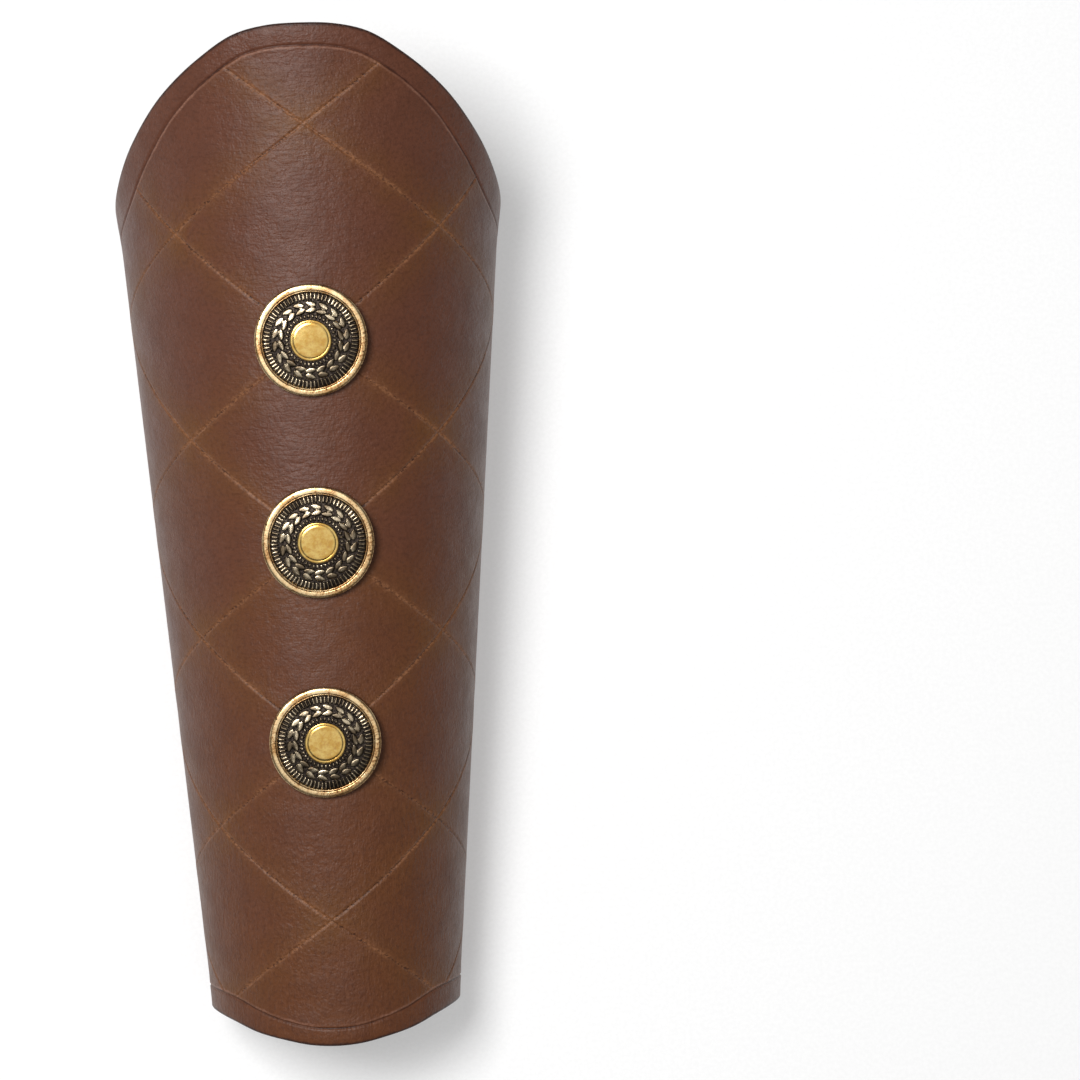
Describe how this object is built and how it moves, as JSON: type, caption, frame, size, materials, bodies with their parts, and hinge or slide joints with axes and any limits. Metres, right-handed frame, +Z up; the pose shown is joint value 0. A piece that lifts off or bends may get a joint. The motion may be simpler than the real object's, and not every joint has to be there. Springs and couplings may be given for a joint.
{
  "type": "leather bracer",
  "caption": "Tapered leather forearm cuff with a pointed elbow end, a scored diamond pattern, riveted brass conchos down the front and punched holes for lacing down the open back.",
  "frame": {"origin": "on the floor under the middle of the bracer's box, between the two back strips that it rests on", "axes": "+Y along the forearm from the wrist end to the pointed elbow end, +Z up through the front with the conchos, +X across"},
  "size_m": [0.1062, 0.2728, 0.0992],
  "materials": {
    "leather": "oiled brown full-grain leather, scored and worn along the lines, suede flesh side",
    "brass": "antique brass, rubbed bright on the edges",
    "blackened_relief": "cast relief, blackened in the hollows and rubbed silvery on the leaves and ribs"
  },
  "bodies": {
    "root": {"leather_cuff": "leather", "bezel_elbow": "brass", "bezel_middle": "brass", "bezel_wrist": "brass", "medallion_elbow": "blackened_relief", "medallion_middle": "blackened_relief", "medallion_wrist": "blackened_relief", "rivet_elbow": "brass", "rivet_middle": "brass", "rivet_wrist": "brass"}
  },
  "joints": []
}
